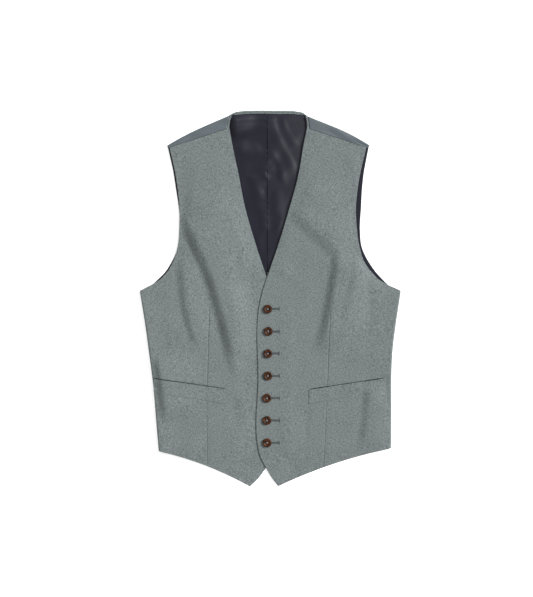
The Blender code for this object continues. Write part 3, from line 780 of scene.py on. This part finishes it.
# Viscose satin: long floats of fine yarn give a smooth blue-grey cloth with a soft gleam.
satin, tree, shader, floats = streaked_satin(
    "viscose satin, piece-dyed", (0.0007, 0.006, 0.002), ("#515a5e", "#5c656a"),
    {"Roughness": 0.46, "IOR": 1.5, "Anisotropic": 0.4})
bump = add(tree, "ShaderNodeBump", {"Height": floats, "Strength": 0.25, "Distance": 0.0001})
tree.links.new(bump.outputs[0], shader.inputs["Normal"])

backs = {name: Back(name, fronts[name.replace("back", "front")]) for name in ARMHOLES}
for name, back in backs.items():

    def top_of(share, back=back):
        if share <= NECK_SHARE:
            return back.neckline(share / NECK_SHARE)
        return back.fold_at((share - NECK_SHARE) / (1 - NECK_SHARE))

    shares, flat = back.panel(0.0, top_of)
    first = int(np.argmin(np.abs(shares - NECK_SHARE)))
    z = BACK_Z + back_lift(flat[..., 0], flat[..., 1])
    grid = np.full((len(flat) + 26, len(shares), 3), np.nan)
    grid[:len(flat)] = np.dstack([flat, z])
    parts = ((shares[first:] - NECK_SHARE) / (1 - NECK_SHARE))[:, None]
    base = back.fold_at(parts[:, 0])
    seam = back.seam[0] + (back.seam[1] - back.seam[0]) * parts
    for k in range(1, 17):
        angle = math.pi * k / 16
        height = BACK_Z + back.radius * (1 - math.cos(angle))
        around = base + back.upward * back.radius * math.sin(angle)
        grid[len(flat) + k - 1, first:] = np.hstack([around, np.full((len(base), 1), height)])
    for k, t in enumerate([0.15, 0.35, 0.55, 0.75, 0.9, 0.96, 0.98, 0.99, 0.997, 1.0]):
        across = base + (seam - base) * t
        sag = 0.6 * np.sin(np.pi * t) * ripple(across[:, 0], across[:, 1], 3, 34)
        height = SHOULDER_TOP - SATIN / 2 + sag
        grid[len(flat) + 16 + k, first:] = np.hstack([across, height[:, None]])
    piece, area = shell(name + "_cloth", grid, SATIN)
    stand_for(piece, name, satin)

# ------------------------------
# Linings: dark navy satin on the inside of the back, in two halves, with a facing
# seam under the neck band. Where the V leaves it free it lies in soft folds.

BAND_TOP = [
    (-69.0, 312.8), (-65.8, 314.6), (-61.0, 317.0), (-51.0, 319.0),
    (-28.0, 320.2), (10.0, 319.8), (46.0, 318.6), (56.0, 316.2),
    (60.5, 312.8), (63.2, 311.2),
]
BAND_INNER = 5.6  # depth of the neck band's inner leg
LINING_INSET = 3.4  # of the lining's top, below the shoulder's fold
FACING_DROP = 19.5  # of the facing seam, below the neck band's top
BAND_LINE = smooth_line([(y, x) for x, y in BAND_TOP])

# Folds of the lining, given as the fronts' creases are.
LINING_CREASES = laid_out([
    ([(-6, 318), (0, 286), (12, 258), (30, 226), (42, 200)], 1.5, 8.0, 5.5),
    ([(14, 318), (20, 292), (34, 266), (54, 246)], 0.9, 5.0, 5.0),
    ([(-84, 316), (-74, 286), (-66, 262)], 8.5, 8.0, 30),
    ([(-62, 246), (-36, 240), (-4, 246)], 2.2, 9.0, 16),
    ([(-40, 214), (-32, 188), (-18, 158)], 2.0, 6.0, 10),
    ([(-8, 246), (6, 236), (14, 216), (10, 196)], 1.5, 5.0, 7),
    ([(-2, 190), (6, 166), (2, 134)], 1.4, 6.0, 10),
    ([(-28, 164), (-19, 138), (-14, 104)], 1.6, 6.0, 9),
    ([(14, 214), (20, 198), (30, 188)], 0.5, 4.0, 6),
    ([(-16, 216), (-9, 206), (-2, 210)], 0.8, 4.0, 7),
    ([(-5, 223), (5, 214), (16, 217)], 0.8, 4.0, 8),
])


def band_top(x):
    """Height of the neck band's folded top edge."""
    return np.interp(x, BAND_LINE[:, 1], BAND_LINE[:, 0])


# Lining satin: navy yarn-dyed, smooth and glossy enough to catch soft light on its folds.
lining_satin, _, _, _ = streaked_satin(
    "acetate lining satin, navy", (0.0008, 0.007, 0.002), ("#171722", "#20202d"),
    {"Roughness": 0.52, "IOR": 1.45, "Specular IOR Level": 0.4, "Anisotropic": 0.5})

for name, back in backs.items():

    def top_of(share, back=back):
        if share <= NECK_SHARE:
            x = back.neckline(share / NECK_SHARE)[0]
            inner = band_top(x) - 3.2
            corner = back.roll[0] - back.upward * LINING_INSET
            blend = ease(0.94, 1.0, share / NECK_SHARE)
            return np.array([x, inner]) * (1 - blend) + corner * blend
        part = (share - NECK_SHARE) / (1 - NECK_SHARE)
        return back.roll[0] + (back.roll[1] - back.roll[0]) * part - back.upward * LINING_INSET

    shares, flat = back.panel(0.6, top_of)
    x, y = flat[..., 0], flat[..., 1]
    in_v = ease(0, 12, x - x_at(fronts["front_right"].edge, y))
    in_v *= ease(0, 12, x_at(fronts["front_left"].edge, y) - x)
    folds = crease_height(LINING_CREASES, x, y) + ripple(x, y, 8, 44)
    puckers = 0.35 * np.exp(-((np.abs(x - CENTRE_X) / 7) ** 2)) * np.sin(y / 1.9 + 2 * np.sin(y / 13))
    folds += puckers * ease(60, 130, y)
    folds *= ease(0, 10, band_top(x) - BAND_INNER - y) * in_v * ease(40, 70, y)
    folds -= 0.5 * np.exp(-(((y - band_top(x) + FACING_DROP) / 1.3) ** 2)) * in_v
    folds = np.maximum(folds, -0.25)
    z = LINING_Z + back_lift(x, y) + folds
    piece, area = shell(name.replace("back", "back_lining") + "_cloth", np.dstack([flat, z]), LINING, 0.12)
    stand_for(piece, name.replace("back", "back_lining"), lining_satin)

# The centre back seam: a near-black cord, wider than its stitching, laid in the dip between the two halves.
# It paints the shade of the seam's fold as a dark line.
seam_shade_cord, _, _ = new_material("black cord, painted seam shade", {
    "Base Color": linear("#0d0d13"), "Roughness": 0.9, "Specular IOR Level": 0.1})
SEAM_START, SEAM_END = 46.0, 311.0
seam_ys = np.linspace(SEAM_START, SEAM_END, 240)
rng = np.random.default_rng(2)
wander = np.interp(seam_ys, np.linspace(SEAM_START, SEAM_END, 34), rng.uniform(-0.15, 0.15, 34))
column = {}
for piece_name, side in (("back_lining_right_cloth", -1), ("back_lining_left_cloth", 1)):
    tops = np.array([vertex.co for vertex in bpy.data.objects[piece_name].data.vertices]) / MM - PLACE
    near = tops[np.abs(tops[:, 0] - CENTRE_X - side * 1.0) < 0.9]
    near = near[near[:, 2] > LINING_Z]
    order = np.argsort(near[:, 1])
    column[side] = np.interp(seam_ys, near[order, 1], near[order, 2])
top_z = np.maximum(column[-1], column[1])
shapes = [cord(np.stack([CENTRE_X + wander, seam_ys, top_z - 0.42], 1), 0.7, sides=12)]
piece = joined("lining_seam_shade", shapes, seam_shade_cord)
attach(piece, "root")

# ------------------------------
# Neck band: a bias strip of suiting folded over the back neck edge, with a row of
# stitching sunk along the middle of its inner leg.

BAND = 1.0
BAND_Z = LINING_Z + (LINING + BAND) / 2 + 0.05
right, left = backs["back_right"], backs["back_left"]
satin_edge = np.array([right.neckline(s) for s in np.linspace(1, 0, 40)]
                      + [left.neckline(s) for s in np.linspace(0, 1, 40)])
band_xs = np.array(even(BAND_TOP[0][0], BAND_TOP[-1][0], 0.65))
radius = (BAND_Z - BACK_Z) / 2
crest = band_top(band_xs) - radius - BAND / 2
low = np.interp(band_xs, satin_edge[:, 0], satin_edge[:, 1]) + SEAM
low = np.minimum(low, crest - 0.4)
inner = np.maximum(band_top(band_xs) - BAND_INNER, BAND_TOP[0][1])
inner = np.minimum(inner, crest - 0.4)
band_rows = []
for t in (0.0, 0.03, 0.1, 0.3, 0.6):
    band_rows.append((low + (crest - low) * t, np.full(len(band_xs), BACK_Z)))
for k in range(13):
    angle = math.pi * k / 12
    height = BACK_Z + radius * (1 - math.cos(angle))
    band_rows.append((crest + radius * math.sin(angle), np.full(len(band_xs), height)))
for t in (0.08, 0.18, 0.28, 0.36, 0.42, 0.48, 0.54, 0.62, 0.72, 0.82, 0.9, 0.95, 0.98, 1.0):
    y = crest + (inner - crest) * t
    stitched = 0.75 * math.exp(-(((t - 0.45) / 0.12) ** 2))
    stitched *= 0.75 + 0.25 * np.sin(band_xs * 2 * math.pi / 2.4)
    ribs = 0.14 * np.sin(band_xs * 2 * math.pi / 2.6)
    band_rows.append((y, BAND_Z + 0.25 * math.sin(math.pi * min(1, t / 0.42)) + ribs - stitched))
grid = np.array([np.stack([band_xs, y, z], 1) for y, z in band_rows])
piece, area = shell("neck_band_cloth", grid, BAND)
stand_for(piece, "neck_band", suiting)

# ------------------------------
# Buttonholes: seven cuts in the left front, each whipped round with grey buttonhole
# twist and closed at its outer end by an upright bar tack.

BUTTON_PITCH = 37.8
BUTTON_COUNT = 7
HOLE_START = CENTRE_X + 3.0
HOLE_END = 15.0
HOLE_SIDE = 0.95  # from the cut to the middle of the twist beside it
TACK_LENGTH = 6.6
TWIST_RADIUS = 0.72

# Silk twist, doubled and whipped close: a dull dark grey with a slight gleam along the stitches.
twist, _, _ = new_material("silk buttonhole twist", {"Base Color": linear("#464a4f"), "Roughness": 0.75})

shapes = []
rng = np.random.default_rng(4)
over = fronts["front_left"]
for k in range(BUTTON_COUNT):
    y = BUTTON_TOP_Y - BUTTON_PITCH * k + rng.uniform(-0.3, 0.3)
    end = HOLE_END + rng.uniform(-0.5, 0.5)
    tilt = rng.uniform(-0.02, 0.02)
    xs = np.linspace(HOLE_START, end, 40)
    loop = [(x, HOLE_SIDE) for x in xs] + [(x, -HOLE_SIDE) for x in xs[::-1]]
    path = np.array([(x, y + side + tilt * (x - HOLE_START), 0.0) for x, side in loop])
    path[:, 2] = over.height(path[:, 0], path[:, 1]) + WOOL / 2 + 0.12
    stitches = TWIST_RADIUS + 0.08 * np.sin(np.arange(80) * 2.1)
    shapes.append(cord(path, stitches, closed=True))
    bar = np.array([(end + 0.3 + tilt * s, y + tilt * 14 + s, 0.0)
                    for s in np.linspace(-TACK_LENGTH / 2, TACK_LENGTH / 2, 24)])
    bar[:, 2] = over.height(bar[:, 0], bar[:, 1]) + WOOL / 2 + 0.2
    girth = TWIST_RADIUS * np.sqrt(1 - np.linspace(-0.96, 0.96, 24) ** 6) + 0.06 * np.sin(np.arange(24) * 2.2)
    shapes.append(cord(bar, girth))
piece = joined("buttonholes", shapes, twist)
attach(piece, "root")

# ------------------------------
# Buttons: seven 24-ligne buttons of mottled brown horn, turned with a raised rim and a
# dished middle, polished, and drilled with four holes. They stand on a thread shank.

BUTTON_PROFILE = [  # radius and height of the turned outline, from the middle of the dish to the back
    (0.0, 1.75), (2.6, 1.8), (3.9, 2.0), (4.5, 2.35), (4.9, 2.85), (5.4, 3.12), (6.0, 3.2), (6.6, 3.1),
    (7.15, 2.75), (7.45, 2.3), (7.5, 1.9), (7.35, 1.5), (6.8, 1.05), (5.6, 0.45), (4.6, 0.05), (0.0, 0.0),
]
BUTTON_SHIFT = [0.5, 1.4, 0.8, 0.7, -0.8, -0.8, -0.5]  # how far each is sewn off the line
BUTTON_SUNK = 0.5  # how far it presses into the cloth
HOLE_OFFSET = 1.35
HOLE_RADIUS = 0.78
RING = 48

turned = bmesh.new()
rings = []
for radius, z in BUTTON_PROFILE:
    if radius == 0:
        rings.append([turned.verts.new((0, 0, z))] * RING)
        continue
    rings.append([turned.verts.new((radius * math.cos(a), radius * math.sin(a), z))
                  for a in np.linspace(0, 2 * math.pi, RING, endpoint=False)])
for upper, lower in zip(rings, rings[1:]):
    for k in range(RING):
        n = (k + 1) % RING
        corners = list(dict.fromkeys([upper[k], lower[k], lower[n], upper[n]]))
        turned.faces.new(corners)
blank_mesh = bpy.data.meshes.new("button_blank")
turned.to_mesh(blank_mesh)
turned.free()
drill = bmesh.new()
for across in (-HOLE_OFFSET, HOLE_OFFSET):
    for along in (-HOLE_OFFSET, HOLE_OFFSET):
        made = bmesh.ops.create_cone(drill, cap_ends=True, segments=20, radius1=HOLE_RADIUS,
                                     radius2=HOLE_RADIUS, depth=12)
        bmesh.ops.translate(drill, verts=made["verts"], vec=(across, along, 0))
drill_mesh = bpy.data.meshes.new("button_drill")
drill.to_mesh(drill_mesh)
drill.free()
blank = bpy.data.objects.new("button_blank", blank_mesh)
cutter = bpy.data.objects.new("button_drill", drill_mesh)
for helper in (blank, cutter):
    bpy.context.scene.collection.objects.link(helper)
cut = blank.modifiers.new("holes", "BOOLEAN")
cut.operation = "DIFFERENCE"
cut.solver = "EXACT"
cut.object = cutter
drilled = bpy.data.meshes.new_from_object(blank.evaluated_get(bpy.context.evaluated_depsgraph_get()))
for helper in (blank, cutter):
    bpy.data.objects.remove(helper)
button_points = np.array([vertex.co for vertex in drilled.vertices])
button_faces = [list(polygon.vertices) for polygon in drilled.polygons]

# Horn: warm brown with dark streaks and flecks that run through it, buffed to a low polish.
horn, tree, shader = new_material("buffalo horn, turned and buffed", {
    "Roughness": 0.5, "IOR": 1.54, "Specular IOR Level": 0.22})
place = add(tree, "ShaderNodeTexCoord").outputs["Object"]
layers = add(tree, "ShaderNodeTexNoise", {"Vector": place, "Scale": 330.0, "Detail": 3.0,
                                          "Roughness": 0.6, "Distortion": 1.2})
flecks = add(tree, "ShaderNodeTexNoise", {"Vector": place, "Scale": 900.0, "Detail": 2.0})
streaked = add(tree, "ShaderNodeMapRange", {"Value": layers.outputs["Fac"],
                                           "From Min": 0.42, "From Max": 0.58})
speckled = add(tree, "ShaderNodeMapRange", {"Value": flecks.outputs["Fac"],
                                           "From Min": 0.52, "From Max": 0.62})
brown = add(tree, "ShaderNodeMix", {"Factor": streaked.outputs[0], "A": linear("#170b05"),
                                    "B": linear("#603410")}, data_type="RGBA")
marked = add(tree, "ShaderNodeMix", {"Factor": speckled.outputs[0], "A": brown.outputs["Result"],
                                     "B": linear("#0f0a08")}, data_type="RGBA")
tree.links.new(marked.outputs["Result"], shader.inputs["Base Color"])

shapes = []
threads = []
for k in range(BUTTON_COUNT):
    low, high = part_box(f"button_{k + 1}")
    seat = np.array([CENTRE_X + BUTTON_SHIFT[k], BUTTON_TOP_Y - BUTTON_PITCH * k, low[2] / MM - BUTTON_SUNK])
    turn = rng.uniform(-0.5, 0.5)
    spin = np.array([[math.cos(turn), -math.sin(turn), 0], [math.sin(turn), math.cos(turn), 0], [0, 0, 1]])
    lean = np.array([[1, 0, 0], [0, 1, 0], [*rng.uniform(-0.035, 0.035, 2), 1]])
    shapes.append((button_points @ (lean @ spin).T + seat, button_faces))
    for first, second in ((-1, -1), (-1, 1)):
        for beside_it in (-0.2, 0.2):
            strand = []
            for t in np.linspace(-1, 1, 15):
                arch = 2.3 + (0.12 if second > 0 else 0.0) - 1.9 * max(0.0, abs(t) - 0.72) / 0.28
                x = HOLE_OFFSET * first * t - beside_it * second * 0.7
                y = HOLE_OFFSET * second * t + beside_it * first * 0.7
                strand.append((x, y, arch - 0.25 * t * t))
            threads.append(cord(np.array(strand) @ (lean @ spin).T + seat, 0.21, sides=6))
    shank = np.array([(0, 0, z) for z in np.linspace(-0.9, 0.6, 6)]) + seat
    threads.append(cord(shank, 1.1, sides=10))
piece = joined("buttons", shapes, horn)
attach(piece, "root")
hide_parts(*[f"button_{k + 1}" for k in range(BUTTON_COUNT)])

# ------------------------------
# Button thread: pale grey polyester, crossed over each button between its four holes
# and wound into the short shank under it.

thread, _, _ = new_material("spun polyester thread, pale grey", {
    "Base Color": linear("#8f969e"), "Roughness": 0.6})
piece = joined("button_thread", threads, thread)
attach(piece, "root")

# ------------------------------
# Floor, light and camera: an opal table top lit softly from below, so that the garment throws
# no hard shadow on it, under a broad key light from the upper right and fainter side lights.

TABLE_HALF = 30  # metres, so that no edge shows
TABLE_Z = -0.0004
corners = [(x * TABLE_HALF, y * TABLE_HALF, TABLE_Z) for x, y in ((-1, -1), (1, -1), (1, 1), (-1, 1))]
floor_mesh = bpy.data.meshes.new("floor")
floor_mesh.from_pydata(corners, [], [(0, 1, 2, 3)])
floor = bpy.data.objects.new("floor", floor_mesh)
bpy.context.scene.collection.objects.link(floor)
acrylic, _, _ = new_material("opal acrylic light table, matt", {
    "Base Color": linear("#f4f4f4"), "Roughness": 0.95,
    "Emission Color": (1, 1, 1, 1), "Emission Strength": 0.55})
floor_mesh.materials.append(acrylic)


def far_light(name, from_where, spread, strength):
    """A distant light with soft shadows that comes from a direction."""
    light = bpy.data.lights.new(name, "SUN")
    light.angle = math.radians(spread)
    light.energy = strength
    lamp = bpy.data.objects.new(name, light)
    lamp.rotation_mode = "QUATERNION"
    lamp.rotation_quaternion = Vector(from_where).to_track_quat("Z", "Y")
    bpy.context.scene.collection.objects.link(lamp)


far_light("key light", (0.80, 0.34, 0.62), 20, 4.1)
for side in ((-0.75, 0.1, 0.65), (0.0, -0.8, 0.6), (0.1, 0.8, 0.65)):
    far_light("side light", side, 50, 0.32)
world = bpy.data.worlds.new("soft surround")
world.use_nodes = True
world.node_tree.nodes["Background"].inputs["Color"].default_value = (1, 1, 1, 1)
world.node_tree.nodes["Background"].inputs["Strength"].default_value = 0.30
bpy.context.scene.world = world
bpy.context.scene.view_settings.view_transform = "Standard"

VIEW_LENGTH = 1.01367  # metres up the view, at the height of the cloth
VIEW_MIDDLE = (-6.5, 0.6, 5.0)  # on the cloth, in millimetres
lens = bpy.data.cameras.new("camera")
lens.lens = 85
camera = bpy.data.objects.new("camera", lens)
camera.location = (PLACE + VIEW_MIDDLE) * MM
camera.location.z += VIEW_LENGTH * lens.lens / lens.sensor_width
bpy.context.scene.collection.objects.link(camera)
bpy.context.scene.camera = camera
